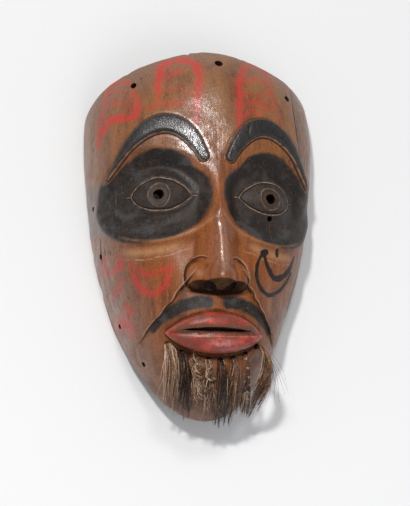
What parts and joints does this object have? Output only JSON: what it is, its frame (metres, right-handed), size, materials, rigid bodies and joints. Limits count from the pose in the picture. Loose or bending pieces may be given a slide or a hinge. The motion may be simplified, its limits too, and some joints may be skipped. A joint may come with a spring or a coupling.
{
  "type": "carved wooden face mask",
  "caption": "Hollow carved wooden face mask with pupil holes, a mouth slit, painted decoration and a beard of hair tufts let in under the lower lip, lying face up.",
  "frame": {"origin": "on the surface the mask lies on, under the middle of its bounding box", "axes": "+Z out of the face, +Y from chin to forehead, +X towards the viewer's right as the face is looked at"},
  "size_m": [0.16, 0.25, 0.0894],
  "materials": {
    "painted_wood": "satin",
    "hair": "matte"
  },
  "bodies": {
    "root": {"mask_shell": "painted_wood", "hair_tuft_1": "hair", "hair_tuft_2": "hair", "hair_tuft_3": "hair", "hair_tuft_4": "hair", "hair_tuft_5": "hair", "hair_tuft_6": "hair", "hair_tuft_7": "hair", "hair_tuft_8": "hair"}
  },
  "joints": []
}
